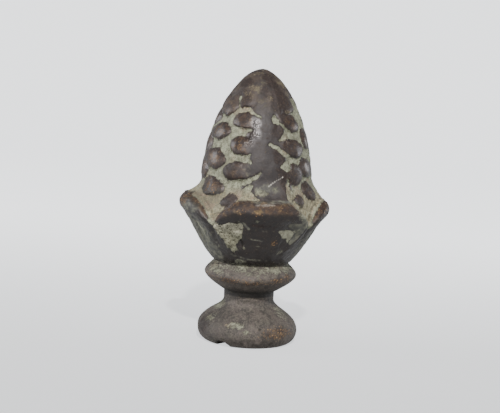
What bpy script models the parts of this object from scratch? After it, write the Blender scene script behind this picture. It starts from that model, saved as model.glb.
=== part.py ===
"""Furniture finial, cast in one piece of brass.

A turned foot, neck and ring carry a cup of four leaves with rolled lips, and a pine cone stands in
the cup. The cone's scales are domed diamonds, worn flat on the front and at the tip. A chip is
missing from the foot's lower edge.

Lengths are in metres and angles in degrees. The origin is the centre of the flat underside, +Z runs
up the axis, and -Y runs through the middle of the front leaf.
"""

import math

import bpy

# Foot
FOOT_RADIUS = 0.0185
FOOT_FLAT_RADIUS = 0.0152
FOOT_BELLY_HEIGHT = 0.0045
FOOT_HEIGHT = 0.0158
FOOT_SHOULDER_SHARE = 0.53
FOOT_FILLET_SHARE = 0.34

# Neck
NECK_RADIUS = 0.0093
NECK_HEIGHT = 0.0030

# Ring between the neck and the cup
RING_RADIUS = 0.0171
RING_HEIGHT = 0.0108
RING_NOSE_SHARE = 0.61
RING_TOP_RADIUS = 0.0136
RING_LOWER_SWEEP = (0.22, 0.15)
RING_NOSE_ROUNDING = 0.33
RING_UPPER_ROUNDING = 0.29
RING_UPPER_SWEEP = (0.54, 0.67)

# Cup of leaves
LEAVES = 4
CUP_HEIGHT = 0.0213
LEAF_REACH = 0.0278
LIP_ROLL = 0.0032
LIP_BAND = 0.0068
LIP_LOWER_ANGLE = -37.6
LIP_UPPER_ANGLE = 75.0
NOTCH_DROP = 0.0083
NOTCH_RADIUS = 0.0244
BOWL_FULLNESS = 0.79
LIP_LEVEL_HALF_ANGLE = 21.0
RIM_DIP_POWER = 1.5
LOBE_POWER = 2.5
LEVEL_SHIFT_POWER = 2.0
LEAF_TAPER_PER_METRE = 1720.0
LEAF_OVERLAP = 0.0008
LEAF_EDGE_FADE_ANGLE = 9.0
LEAF_EDGE_SOFT_ANGLE = 5.0

# Two hollows in each leaf
HOLLOW_DEPTH = 0.0017
HOLLOW_LENGTH = 0.0115
HOLLOW_TOP_ANGLE = 27.5
HOLLOW_TOP_HALF_ANGLE = 12.5
HOLLOW_FOOT_ANGLE = 23.5
HOLLOW_FOOT_HALF_ANGLE = 3.5
HOLLOW_FLOOR_FLATNESS = 1.3
HOLLOW_FOOT_SLOPE_SHARE = 0.35
HOLLOW_TOP_SLOPE_SHARE = 0.18

# Pine cone
CONE_RADIUS = 0.0201
CONE_HEIGHT = 0.0463
CONE_SWELL = 1.65
CONE_NOSE = 0.584
FILLET_HEIGHT = 0.0075
FILLET_UNDER_LIP = (0.70, 0.10)
FILLET_UP_CONE = (0.20, 0.45)
VALLEY_POWER = 1.3
SCALE_COLUMNS = 12
SCALE_HALF_ANGLE = 17.0
SCALE_HALF_HEIGHT_TO_RADIUS = 0.195
SCALE_CORNER_POWER = 1.5
SCALE_DOME_POWER = 2.6
SCALE_RELIEF = 0.0010
EVEN_ROW_SHARES = (0.084, 0.296, 0.497, 0.683)
ODD_ROW_SHARES = (0.022, 0.201, 0.408, 0.609, 0.750)

# Worn places on the cone
WORN_TIP_SHARE = 0.78
WORN_FROM_ANGLE = -13.0
WORN_TO_ANGLE = 15.0
WORN_SOFT_ANGLE = 9.0
WORN_SCALE_GROWTH = 1.25
WORN_SOFT_SHARE = 0.06

# Chip out of the foot's lower edge
CHIP_ANGLE = -40.0
CHIP_HALF_WIDTH = 0.0030
CHIP_HEIGHT = 0.0021
CHIP_LENGTH = 0.0090

# Facets
TURNING_STEPS = 144
ROW_SPACING = 0.0008
SAMPLES = 60
FACET_BUDGET = 9800
SMOOTH_ANGLE = 50.0
MERGE_DISTANCE = 0.00001
CHIP_SEGMENTS = 24
CHIP_RINGS = 12

# Levels that the sizes above set
NECK_FOOT = FOOT_HEIGHT
RING_FOOT = NECK_FOOT + NECK_HEIGHT
CUP_FOOT = RING_FOOT + RING_HEIGHT
LIP_LEVEL = CUP_FOOT + CUP_HEIGHT
RIM_TOP = LIP_LEVEL + LIP_ROLL * math.sin(math.radians(LIP_UPPER_ANGLE))
NOTCH_LEVEL = RIM_TOP - NOTCH_DROP
CONE_FOOT = RIM_TOP + FILLET_HEIGHT
TIP = RIM_TOP + CONE_HEIGHT
LEAF_SPAN = 360.0 / LEAVES
HALF_LEAF = LEAF_SPAN / 2.0


def clamp(value):
    return min(1.0, max(0.0, value))


def smooth(value):
    """Eases from 0 to 1 with level ends."""
    value = clamp(value)
    return value * value * (3.0 - 2.0 * value)


def mix(first, second, share):
    return first + (second - first) * share


def bezier(start, first_handle, second_handle, end):
    """Points of a cubic curve in (radius, height)."""
    points = []
    for step in range(SAMPLES + 1):
        t = step / SAMPLES
        weights = ((1 - t) ** 3, 3 * t * (1 - t) ** 2, 3 * t * t * (1 - t), t ** 3)
        corners = (start, first_handle, second_handle, end)
        points.append(tuple(sum(w * c[axis] for w, c in zip(weights, corners)) for axis in (0, 1)))
    return points


def arc(centre, radius, height, from_angle, to_angle):
    """Points of an ellipse's arc in (radius, height)."""
    points = []
    for step in range(SAMPLES + 1):
        angle = math.radians(mix(from_angle, to_angle, step / SAMPLES))
        points.append((centre[0] + radius * math.cos(angle), centre[1] + height * math.sin(angle)))
    return points


def graph(function, low, high):
    """Points of a radius given as a function of height."""
    heights = [mix(low, high, step / SAMPLES) for step in range(SAMPLES + 1)]
    return [(function(height), height) for height in heights]


def even_rows(points):
    """The same line with its points about ROW_SPACING apart."""
    lengths = [0.0]
    for one, two in zip(points, points[1:]):
        lengths.append(lengths[-1] + math.dist(one, two))
    rows = max(1, round(lengths[-1] / ROW_SPACING))
    spaced = []
    index = 0
    for row in range(rows + 1):
        wanted = lengths[-1] * row / rows
        while index < len(points) - 2 and lengths[index + 1] < wanted:
            index += 1
        span = lengths[index + 1] - lengths[index]
        share = clamp((wanted - lengths[index]) / span) if span else 0.0
        spaced.append(tuple(mix(a, b, share) for a, b in zip(points[index], points[index + 1])))
    return spaced


def bowl_radius(height):
    """The cup without its lips."""
    share = max(0.0, (height - CUP_FOOT) / (NOTCH_LEVEL - CUP_FOOT))
    return mix(RING_TOP_RADIUS, NOTCH_RADIUS, share ** BOWL_FULLNESS)


def valley_radius(height):
    """The slope behind the lips, where it comes down to the notch between two leaves."""
    share = clamp((CONE_FOOT - height) / (CONE_FOOT - NOTCH_LEVEL))
    return mix(CONE_RADIUS, NOTCH_RADIUS, share ** VALLEY_POWER)


def cone_radius(height):
    share = clamp((height - CONE_FOOT) / (TIP - CONE_FOOT))
    return CONE_RADIUS * (1.0 - share ** CONE_SWELL) ** CONE_NOSE


def foot_outline():
    corner = FOOT_RADIUS - FOOT_FLAT_RADIUS
    edge = arc((FOOT_FLAT_RADIUS, FOOT_BELLY_HEIGHT), corner, FOOT_BELLY_HEIGHT, -90.0, 0.0)
    rise = NECK_FOOT - FOOT_BELLY_HEIGHT
    shoulder = bezier(
        (FOOT_RADIUS, FOOT_BELLY_HEIGHT),
        (FOOT_RADIUS, FOOT_BELLY_HEIGHT + rise * FOOT_SHOULDER_SHARE),
        (NECK_RADIUS, NECK_FOOT - rise * FOOT_FILLET_SHARE),
        (NECK_RADIUS, NECK_FOOT),
    )
    return [[(0.0, 0.0), (FOOT_FLAT_RADIUS, 0.0)], edge, shoulder]


def ring_outline():
    nose = RING_FOOT + RING_HEIGHT * RING_NOSE_SHARE
    reach = RING_RADIUS - NECK_RADIUS
    lower_face = bezier(
        (NECK_RADIUS, RING_FOOT),
        (NECK_RADIUS + reach * RING_LOWER_SWEEP[0], mix(RING_FOOT, nose, RING_LOWER_SWEEP[1])),
        (RING_RADIUS, mix(nose, RING_FOOT, RING_NOSE_ROUNDING)),
        (RING_RADIUS, nose),
    )
    upper_face = bezier(
        (RING_RADIUS, nose),
        (RING_RADIUS, mix(nose, CUP_FOOT, RING_UPPER_ROUNDING)),
        (
            mix(RING_RADIUS, RING_TOP_RADIUS, RING_UPPER_SWEEP[0]),
            mix(nose, CUP_FOOT, RING_UPPER_SWEEP[1]),
        ),
        (RING_TOP_RADIUS, CUP_FOOT),
    )
    return [[(NECK_RADIUS, NECK_FOOT), (NECK_RADIUS, RING_FOOT)], lower_face, upper_face]


def cup_outline():
    """The middle of a leaf: bowl, flare, rolled lip and the fillet behind it."""
    centre = (LEAF_REACH - LIP_ROLL, LIP_LEVEL)
    lip = arc(centre, LIP_ROLL, LIP_ROLL, LIP_LOWER_ANGLE, LIP_UPPER_ANGLE)
    flare_foot = RIM_TOP - LIP_BAND - LIP_ROLL
    bowl = graph(bowl_radius, CUP_FOOT, flare_foot)
    flare = [bowl[-1], lip[0]]
    fillet = bezier(
        lip[-1],
        (
            mix(lip[-1][0], CONE_RADIUS, FILLET_UNDER_LIP[0]),
            mix(RIM_TOP, CONE_FOOT, FILLET_UNDER_LIP[1]),
        ),
        (CONE_RADIUS + LIP_ROLL * FILLET_UP_CONE[0], mix(CONE_FOOT, RIM_TOP, FILLET_UP_CONE[1])),
        (CONE_RADIUS, CONE_FOOT),
    )
    return [bowl, flare, lip, fillet]


def outline():
    """The turned outline, from the middle of the underside up to the tip."""
    sections = foot_outline() + ring_outline() + cup_outline() + [graph(cone_radius, CONE_FOOT, TIP)]
    rows = [(0.0, 0.0)]
    for section in sections:
        rows.extend(even_rows(section)[1:])
    return rows


def leaf_angle(angle, span=LEAF_SPAN):
    """Degrees from the middle of the nearest leaf."""
    return (angle + span / 2.0) % span - span / 2.0


def rim_drop(theta):
    """How far the rim dips towards the notch between two leaves."""
    share = clamp((abs(theta) - LIP_LEVEL_HALF_ANGLE) / (HALF_LEAF - LIP_LEVEL_HALF_ANGLE))
    return NOTCH_DROP * share ** RIM_DIP_POWER


def hollow_depth(theta, height):
    """Two drop-shaped hollows under each lip, pointed at their lower end."""
    foot = RIM_TOP - LIP_BAND - HOLLOW_LENGTH
    share = (height - foot) / (HOLLOW_LENGTH - rim_drop(theta))
    if not 0.0 < share < 1.0:
        return 0.0
    middle = mix(HOLLOW_FOOT_ANGLE, HOLLOW_TOP_ANGLE, share)
    half_angle = mix(HOLLOW_FOOT_HALF_ANGLE, HOLLOW_TOP_HALF_ANGLE, share)
    across = 1.0 - ((abs(theta) - middle) / half_angle) ** 2
    ends = smooth(share / HOLLOW_FOOT_SLOPE_SHARE) * smooth((1.0 - share) / HOLLOW_TOP_SLOPE_SHARE)
    return HOLLOW_DEPTH * smooth(across * HOLLOW_FLOOR_FLATNESS) * ends


def leaf_overlap(angle, height):
    """The side leaves' edges stand over the front and back leaves, which narrow downwards."""
    theta = abs(leaf_angle(angle, 2.0 * LEAF_SPAN))
    half_width = HALF_LEAF - max(0.0, NOTCH_LEVEL - height) * LEAF_TAPER_PER_METRE
    past = theta - half_width
    rise = smooth(past / LEAF_EDGE_SOFT_ANGLE + 0.5)
    fade = math.exp(-max(0.0, past) / LEAF_EDGE_FADE_ANGLE)
    ends = smooth((height - CUP_FOOT) / LIP_BAND) * smooth((NOTCH_LEVEL + LIP_ROLL - height) / LIP_ROLL)
    return LEAF_OVERLAP * rise * fade * ends


def cup_point(angle, radius, height):
    """A point of the cup or its lips, moved from the turned outline to the leaves."""
    theta = leaf_angle(angle)
    share = (height - CUP_FOOT) / (RIM_TOP - CUP_FOOT)
    level = height - rim_drop(theta) * share ** LEVEL_SHIFT_POWER
    lobe = (abs(theta) / HALF_LEAF) ** LOBE_POWER
    over_lip = clamp((height - LIP_LEVEL) / (RIM_TOP - LIP_LEVEL)) ** 2
    between = mix(bowl_radius(level), valley_radius(level), over_lip)
    radius = mix(radius, between, lobe)
    return radius + leaf_overlap(angle, level) - hollow_depth(theta, level), level


def fillet_point(angle, radius, height):
    """A point of the slope between the rim and the cone."""
    theta = leaf_angle(angle)
    share = (CONE_FOOT - height) / (CONE_FOOT - RIM_TOP)
    level = height - rim_drop(theta) * share
    lobe = (abs(theta) / HALF_LEAF) ** LOBE_POWER
    return mix(radius, valley_radius(level), lobe), level


def worn_share(angle, height):
    """1 where wear has taken the scales off: on the front, and all round the tip."""
    angle = leaf_angle(angle, 360.0)
    side = min(angle - WORN_FROM_ANGLE, WORN_TO_ANGLE - angle) / WORN_SOFT_ANGLE
    tip = ((height - RIM_TOP) / CONE_HEIGHT - WORN_TIP_SHARE) / WORN_SOFT_SHARE
    return max(smooth(side + 0.5), smooth(tip + 0.5))


def scale_dome(angle, height):
    """1 on a scale's crown and 0 in the grooves; neighbouring columns are half a row apart.

    The front column, number 0, is worn, so its scales are larger and run into each other.
    """
    step = 360.0 / SCALE_COLUMNS
    best = 0.0
    nearest = round(angle / step)
    for column in (nearest - 1, nearest, nearest + 1):
        growth = WORN_SCALE_GROWTH if column == 0 else 1.0
        across = abs(angle - column * step) / (SCALE_HALF_ANGLE * growth)
        for share in EVEN_ROW_SHARES if column % 2 == 0 else ODD_ROW_SHARES:
            level = RIM_TOP + CONE_HEIGHT * share
            half_height = cone_radius(level) * SCALE_HALF_HEIGHT_TO_RADIUS * growth
            along = abs(height - level) / half_height
            reach = (across ** SCALE_CORNER_POWER + along ** SCALE_CORNER_POWER) ** (1.0 / SCALE_CORNER_POWER)
            best = max(best, 1.0 - min(1.0, reach) ** SCALE_DOME_POWER)
    return best


def cone_relief(angle, height):
    """Scales stand on the slope behind the lips, and higher up grooves are sunk between them."""
    dome = scale_dome(angle, height)
    sunk = smooth((height - RIM_TOP) / (CONE_FOOT - RIM_TOP))
    on_cone = smooth((height - NOTCH_LEVEL) / (RIM_TOP - NOTCH_LEVEL))
    relief = SCALE_RELIEF * (dome * on_cone - sunk)
    return mix(relief, 0.0, worn_share(angle, height))


def carved_point(angle, radius, height):
    """Where a point of the turned outline goes on the finished casting."""
    if height <= CUP_FOOT:
        return radius, height
    if height <= RIM_TOP:
        return cup_point(angle, radius, height)
    if height < CONE_FOOT:
        radius, height = fillet_point(angle, radius, height)
    return radius + cone_relief(angle, height), height


def new_collection(name):
    collection = bpy.data.collections.new(name)
    bpy.context.scene.collection.children.link(collection)
    return collection


def turned_blank(rows, collection):
    """The outline turned about Z, welded on the axis, as a mesh of its own."""
    mesh = bpy.data.meshes.new("outline")
    edges = [(index, index + 1) for index in range(len(rows) - 1)]
    mesh.from_pydata([(radius, 0.0, height) for radius, height in reversed(rows)], edges, [])
    blank = bpy.data.objects.new("blank", mesh)
    collection.objects.link(blank)
    screw = blank.modifiers.new("turning", "SCREW")
    screw.steps = TURNING_STEPS
    screw.render_steps = TURNING_STEPS
    screw.use_merge_vertices = True
    screw.merge_threshold = MERGE_DISTANCE
    bpy.context.view_layer.update()
    turned = bpy.data.meshes.new_from_object(blank.evaluated_get(bpy.context.evaluated_depsgraph_get()))
    bpy.data.objects.remove(blank)
    return turned


def carve(mesh):
    """Moves each point of the turned blank to the leaves, hollows and scales."""
    for vertex in mesh.vertices:
        x, y, height = vertex.co
        if math.hypot(x, y) < MERGE_DISTANCE:
            continue
        azimuth = math.atan2(x, -y)
        radius, height = carved_point(math.degrees(azimuth), math.hypot(x, y), height)
        vertex.co = (radius * math.sin(azimuth), -radius * math.cos(azimuth), height)


def chip_cutter(collection):
    """An egg-shaped bite at the foot's lower edge, lying along the foot's radius."""
    azimuth = math.radians(CHIP_ANGLE)
    bpy.ops.mesh.primitive_uv_sphere_add(segments=CHIP_SEGMENTS, ring_count=CHIP_RINGS, radius=1.0)
    cutter = bpy.context.object
    cutter.name = "foot_chip_cutter"
    cutter.scale = (CHIP_HALF_WIDTH, CHIP_LENGTH, CHIP_HEIGHT)
    cutter.rotation_euler = (0.0, 0.0, azimuth)
    cutter.location = (FOOT_RADIUS * math.sin(azimuth), -FOOT_RADIUS * math.cos(azimuth), 0.0)
    cutter.hide_render = True
    cutter.display_type = "WIRE"
    for other in list(cutter.users_collection):
        other.objects.unlink(cutter)
    collection.objects.link(cutter)
    return cutter


def brass():
    material = bpy.data.materials.new("aged_brass")
    material.use_nodes = True
    shader = material.node_tree.nodes["Principled BSDF"]
    shader.inputs["Base Color"].default_value = (0.105, 0.085, 0.070, 1.0)
    shader.inputs["Metallic"].default_value = 0.55
    shader.inputs["Roughness"].default_value = 0.45
    return material


def finial(parts, cutters):
    mesh = turned_blank(outline(), parts)
    carve(mesh)
    mesh.name = "finial"
    mesh.materials.append(brass())
    mesh.shade_smooth()
    mesh.set_sharp_from_angle(angle=math.radians(SMOOTH_ANGLE))
    casting = bpy.data.objects.new("finial", mesh)
    parts.objects.link(casting)
    chip = casting.modifiers.new("chip", "BOOLEAN")
    chip.operation = "DIFFERENCE"
    chip.solver = "EXACT"
    chip.object = chip_cutter(cutters)
    facets = casting.modifiers.new("facets", "DECIMATE")
    facets.ratio = min(1.0, FACET_BUDGET / (2.0 * len(mesh.polygons)))
    facets.use_collapse_triangulate = True
    return casting


def main():
    for thing in list(bpy.data.objects):
        bpy.data.objects.remove(thing)
    parts = new_collection("furniture_finial")
    cutters = new_collection("cutters")
    finial(parts, cutters)
    bpy.context.view_layer.update()


main()
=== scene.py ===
"""The looks of a furniture finial, cast in one piece of brass and worn by age.

One fine mesh stands for the casting. It is turned and carved from the same sizes as the solid, and
carries what is too fine for it: uneven scales, filled grooves, porous deposit, dents and the broken
face of the chip. Lengths are in metres and angles in degrees; angle 0 is the front leaf, on -Y.
"""

import math
import random
from collections import namedtuple

import bpy
import numpy as np
from mathutils import Matrix, Vector, noise


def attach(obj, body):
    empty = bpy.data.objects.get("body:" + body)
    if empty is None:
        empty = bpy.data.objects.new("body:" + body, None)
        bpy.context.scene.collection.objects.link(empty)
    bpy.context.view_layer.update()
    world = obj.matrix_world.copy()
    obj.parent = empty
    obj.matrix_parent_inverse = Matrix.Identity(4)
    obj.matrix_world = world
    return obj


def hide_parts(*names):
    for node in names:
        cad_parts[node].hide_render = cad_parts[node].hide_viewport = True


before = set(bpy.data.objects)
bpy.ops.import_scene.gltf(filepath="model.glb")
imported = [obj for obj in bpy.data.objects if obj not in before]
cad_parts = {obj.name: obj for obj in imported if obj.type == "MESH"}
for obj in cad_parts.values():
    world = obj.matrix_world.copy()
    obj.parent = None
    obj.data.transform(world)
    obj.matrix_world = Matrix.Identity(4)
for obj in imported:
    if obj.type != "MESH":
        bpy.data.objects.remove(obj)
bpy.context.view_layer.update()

MM = 0.001

# Foot
FOOT_RADIUS = 0.0185
FOOT_FLAT_RADIUS = 0.0152
FOOT_BELLY_HEIGHT = 0.0045
FOOT_HEIGHT = 0.0158
FOOT_SHOULDER_SHARE = 0.53
FOOT_FILLET_SHARE = 0.34

# Neck
NECK_RADIUS = 0.0093
NECK_HEIGHT = 0.0030

# Ring between the neck and the cup
RING_RADIUS = 0.0171
RING_HEIGHT = 0.0108
RING_NOSE_SHARE = 0.61
RING_TOP_RADIUS = 0.0136
RING_LOWER_SWEEP = (0.22, 0.15)
RING_NOSE_ROUNDING = 0.33
RING_UPPER_ROUNDING = 0.29
RING_UPPER_SWEEP = (0.54, 0.67)

# Cup of leaves
LEAVES = 4
CUP_HEIGHT = 0.0213
LEAF_REACH = 0.0278
LIP_ROLL = 0.0032
LIP_BAND = 0.0068
LIP_LOWER_ANGLE = -37.6
LIP_UPPER_ANGLE = 75.0
NOTCH_DROP = 0.0083
NOTCH_RADIUS = 0.0244
BOWL_FULLNESS = 0.79
LIP_LEVEL_HALF_ANGLE = 21.0
RIM_DIP_POWER = 1.5
LOBE_POWER = 2.5
LEVEL_SHIFT_POWER = 2.0
LEAF_TAPER_PER_METRE = 1720.0
LEAF_OVERLAP = 0.0009
LEAF_EDGE_FADE_ANGLE = 9.0
LEAF_EDGE_SOFT_ANGLE = 2.0

# Unevenness of the rim
RIM_SWAY = 0.0008
RIM_SWAY_SHIFT = 0.3

# Two hollows in each leaf
HOLLOW_DEPTH = 0.0013
HOLLOW_LENGTH = 0.0115
HOLLOW_TOP_ANGLE = 27.5
HOLLOW_TOP_HALF_ANGLE = 12.5
HOLLOW_FOOT_ANGLE = 23.5
HOLLOW_FOOT_HALF_ANGLE = 3.5
HOLLOW_FLOOR_FLATNESS = 1.6
HOLLOW_FOOT_SLOPE_SHARE = 0.35
HOLLOW_TOP_SLOPE_SHARE = 0.10
SIDE_HOLLOW_DEPTH_SHARE = 0.4
HOLLOW_STRAY_ANGLE = 2.0

# Pine cone
CONE_RADIUS = 0.0201
CONE_HEIGHT = 0.0463
CONE_SWELL = 1.65
CONE_NOSE = 0.584
FILLET_HEIGHT = 0.0075
FILLET_UNDER_LIP = (0.70, 0.10)
FILLET_UP_CONE = (0.20, 0.45)
VALLEY_POWER = 1.3
SCALE_COLUMNS = 12
SCALE_HALF_ANGLE = 17.0
SCALE_HALF_HEIGHT_TO_RADIUS = 0.200
SCALE_CORNER_POWER = 1.7
SCALE_DOME_POWER = 2.4
SCALE_FOOT_POWER = 4.5
SCALE_RELIEF = 0.0012
SCALE_CREST = 0.0003
EVEN_ROW_SHARES = (0.084, 0.296, 0.497, 0.683)
ODD_ROW_SHARES = (0.022, 0.201, 0.408, 0.609, 0.750)

# Chip out of the foot's lower edge
CHIP_ANGLE = -40.0
CHIP_HALF_WIDTH = 0.0030
CHIP_HEIGHT = 0.0021
CHIP_LENGTH = 0.0090

# Fine mesh
COLUMNS = 360
SAMPLES = 60
UNDERSIDE_SPACING = 0.0015
STEM_SPACING = 0.00076
CUP_SPACING = 0.00046
CONE_SPACING = 0.00041

# Levels that the sizes above set
NECK_FOOT = FOOT_HEIGHT
RING_FOOT = NECK_FOOT + NECK_HEIGHT
CUP_FOOT = RING_FOOT + RING_HEIGHT
LIP_LEVEL = CUP_FOOT + CUP_HEIGHT
RIM_TOP = LIP_LEVEL + LIP_ROLL * math.sin(math.radians(LIP_UPPER_ANGLE))
NOTCH_LEVEL = RIM_TOP - NOTCH_DROP
CONE_FOOT = RIM_TOP + FILLET_HEIGHT
TIP = RIM_TOP + CONE_HEIGHT
LEAF_SPAN = 360.0 / LEAVES
HALF_LEAF = LEAF_SPAN / 2.0

# Softness of the ends of what covers only some sides
SIDE_SOFT_ANGLE = 4.0


def clamp(value):
    return np.clip(value, 0.0, 1.0)


def part(value, start, end):
    """How far value has come from start to end, from 0 to 1."""
    return clamp((value - start) / (end - start))


def smooth(value):
    """Eases from 0 to 1 with level ends."""
    value = clamp(value)
    return value * value * (3.0 - 2.0 * value)


def ease(value, start, run):
    """Eases from 0 to 1 while value goes up from start by the given run."""
    return smooth((value - start) / run)


def between_angles(angle, start, end):
    """1 between two angles, with soft ends."""
    return smooth(np.minimum(angle - start, end - angle) / SIDE_SOFT_ANGLE)


def band(value, start, start_run, end, end_run):
    """1 between start and end, each with its own softness."""
    return ease(value, start, start_run) * smooth((end - value) / end_run)


def mix(first, second, share):
    return first + (second - first) * share


def bezier(start, first_handle, second_handle, end):
    """Points of a cubic curve in (radius, height)."""
    t = np.linspace(0.0, 1.0, SAMPLES + 1)[:, None]
    corners = [np.array(point) for point in (start, first_handle, second_handle, end)]
    weights = ((1 - t) ** 3, 3 * t * (1 - t) ** 2, 3 * t * t * (1 - t), t ** 3)
    return sum(weight * corner for weight, corner in zip(weights, corners))


def arc(centre, radius, height, from_angle, to_angle):
    """Points of an ellipse's arc in (radius, height)."""
    angle = np.radians(np.linspace(from_angle, to_angle, SAMPLES + 1))
    return np.stack([centre[0] + radius * np.cos(angle), centre[1] + height * np.sin(angle)], 1)


def graph(function, low, high):
    """Points of a radius given as a function of height."""
    heights = np.linspace(low, high, SAMPLES * 4 + 1)
    return np.stack([function(heights), heights], 1)


def even_rows(points, spacing):
    """The same line with its points evenly spaced, without its first point."""
    points = np.array(points)
    lengths = np.concatenate([[0.0], np.cumsum(np.hypot(*np.diff(points, axis=0).T))])
    rows = max(1, round(lengths[-1] / spacing))
    wanted = np.linspace(0.0, lengths[-1], rows + 1)[1:]
    return np.stack([np.interp(wanted, lengths, points[:, axis]) for axis in (0, 1)], 1)


def bowl_radius(height):
    """The cup without its lips."""
    share = np.maximum(0.0, (height - CUP_FOOT) / (NOTCH_LEVEL - CUP_FOOT))
    return mix(RING_TOP_RADIUS, NOTCH_RADIUS, share ** BOWL_FULLNESS)


def valley_radius(height):
    """The slope behind the lips, where it comes down to the notch between two leaves."""
    share = part(height, CONE_FOOT, NOTCH_LEVEL)
    return mix(CONE_RADIUS, NOTCH_RADIUS, share ** VALLEY_POWER)


def cone_radius(height):
    share = part(height, CONE_FOOT, TIP)
    return CONE_RADIUS * (1.0 - share ** CONE_SWELL) ** CONE_NOSE


def stem_rows():
    """Underside, foot, neck and ring."""
    corner = FOOT_RADIUS - FOOT_FLAT_RADIUS
    rise = NECK_FOOT - FOOT_BELLY_HEIGHT
    nose = RING_FOOT + RING_HEIGHT * RING_NOSE_SHARE
    reach = RING_RADIUS - NECK_RADIUS
    belly = arc((FOOT_FLAT_RADIUS, FOOT_BELLY_HEIGHT), corner, FOOT_BELLY_HEIGHT, -90.0, 0.0)
    foot = bezier(
        (FOOT_RADIUS, FOOT_BELLY_HEIGHT),
        (FOOT_RADIUS, FOOT_BELLY_HEIGHT + rise * FOOT_SHOULDER_SHARE),
        (NECK_RADIUS, NECK_FOOT - rise * FOOT_FILLET_SHARE),
        (NECK_RADIUS, NECK_FOOT),
    )
    under_nose = bezier(
        (NECK_RADIUS, RING_FOOT),
        (NECK_RADIUS + reach * RING_LOWER_SWEEP[0], mix(RING_FOOT, nose, RING_LOWER_SWEEP[1])),
        (RING_RADIUS, mix(nose, RING_FOOT, RING_NOSE_ROUNDING)),
        (RING_RADIUS, nose),
    )
    over_nose = bezier(
        (RING_RADIUS, nose),
        (RING_RADIUS, mix(nose, CUP_FOOT, RING_UPPER_ROUNDING)),
        (mix(RING_RADIUS, RING_TOP_RADIUS, RING_UPPER_SWEEP[0]), mix(nose, CUP_FOOT, RING_UPPER_SWEEP[1])),
        (RING_TOP_RADIUS, CUP_FOOT),
    )
    lines = (
        ([(0.0, 0.0), (FOOT_FLAT_RADIUS, 0.0)], UNDERSIDE_SPACING),
        (belly, CUP_SPACING),
        (foot, STEM_SPACING),
        ([(NECK_RADIUS, NECK_FOOT), (NECK_RADIUS, RING_FOOT)], CUP_SPACING),
        (under_nose, STEM_SPACING),
        (over_nose, STEM_SPACING),
    )
    return [even_rows(line, spacing) for line, spacing in lines]


def cup_rows():
    """The middle of a leaf: bowl, flare, rolled lip and the fillet behind it."""
    lip = arc((LEAF_REACH - LIP_ROLL, LIP_LEVEL), LIP_ROLL, LIP_ROLL, LIP_LOWER_ANGLE, LIP_UPPER_ANGLE)
    bowl = graph(bowl_radius, CUP_FOOT, RIM_TOP - LIP_BAND - LIP_ROLL)
    fillet = bezier(
        lip[-1],
        (mix(lip[-1][0], CONE_RADIUS, FILLET_UNDER_LIP[0]), mix(RIM_TOP, CONE_FOOT, FILLET_UNDER_LIP[1])),
        (CONE_RADIUS + LIP_ROLL * FILLET_UP_CONE[0], mix(CONE_FOOT, RIM_TOP, FILLET_UP_CONE[1])),
        (CONE_RADIUS, CONE_FOOT),
    )
    return [even_rows(line, CUP_SPACING) for line in (bowl, [bowl[-1], lip[0]], lip, fillet)]


def all_rows():
    """Radius and height of every row between the middle of the underside and the tip."""
    cone = even_rows(graph(cone_radius, CONE_FOOT, TIP), CONE_SPACING)[:-1]
    rows = np.concatenate(stem_rows() + cup_rows() + [cone])
    return rows[:, 0:1], rows[:, 1:2]


def from_middle(angle, span=LEAF_SPAN):
    """Degrees from the middle of the nearest leaf, or of the nearest of any evenly spaced things."""
    return (angle + span / 2.0) % span - span / 2.0


def rim_drop(theta):
    """How far the rim dips towards the notch between two leaves."""
    share = part(np.abs(theta), LIP_LEVEL_HALF_ANGLE, HALF_LEAF)
    return NOTCH_DROP * share ** RIM_DIP_POWER


def hollow_mask(theta, height):
    """1 in the two drop-shaped hollows under each lip, which are pointed at their lower end."""
    foot = RIM_TOP - LIP_BAND - HOLLOW_LENGTH
    share = (height - foot) / np.maximum(HOLLOW_LENGTH - rim_drop(theta), MM)
    middle = mix(HOLLOW_FOOT_ANGLE, HOLLOW_TOP_ANGLE, share)
    half_angle = np.maximum(1.0, mix(HOLLOW_FOOT_HALF_ANGLE, HOLLOW_TOP_HALF_ANGLE, share))
    across = 1.0 - ((np.abs(theta) - middle) / half_angle) ** 2
    ends = smooth(share / HOLLOW_FOOT_SLOPE_SHARE) * smooth((1.0 - share) / HOLLOW_TOP_SLOPE_SHARE)
    return smooth(across * HOLLOW_FLOOR_FLATNESS) * ends


def leaf_edge(angle, height):
    """Degrees past the edge of the front or back leaf; the side leaves lie over those."""
    theta = np.abs(from_middle(angle, 2.0 * LEAF_SPAN))
    return theta - (HALF_LEAF - np.maximum(0.0, NOTCH_LEVEL - height) * LEAF_TAPER_PER_METRE)


def leaf_overlap(past, height):
    rise = smooth(past / LEAF_EDGE_SOFT_ANGLE + 0.5)
    fade = np.exp(-np.maximum(0.0, past) / LEAF_EDGE_FADE_ANGLE)
    ends = ease(height, CUP_FOOT, LIP_BAND) * smooth((NOTCH_LEVEL + LIP_ROLL - height) / LIP_ROLL)
    return LEAF_OVERLAP * rise * fade * ends


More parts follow.
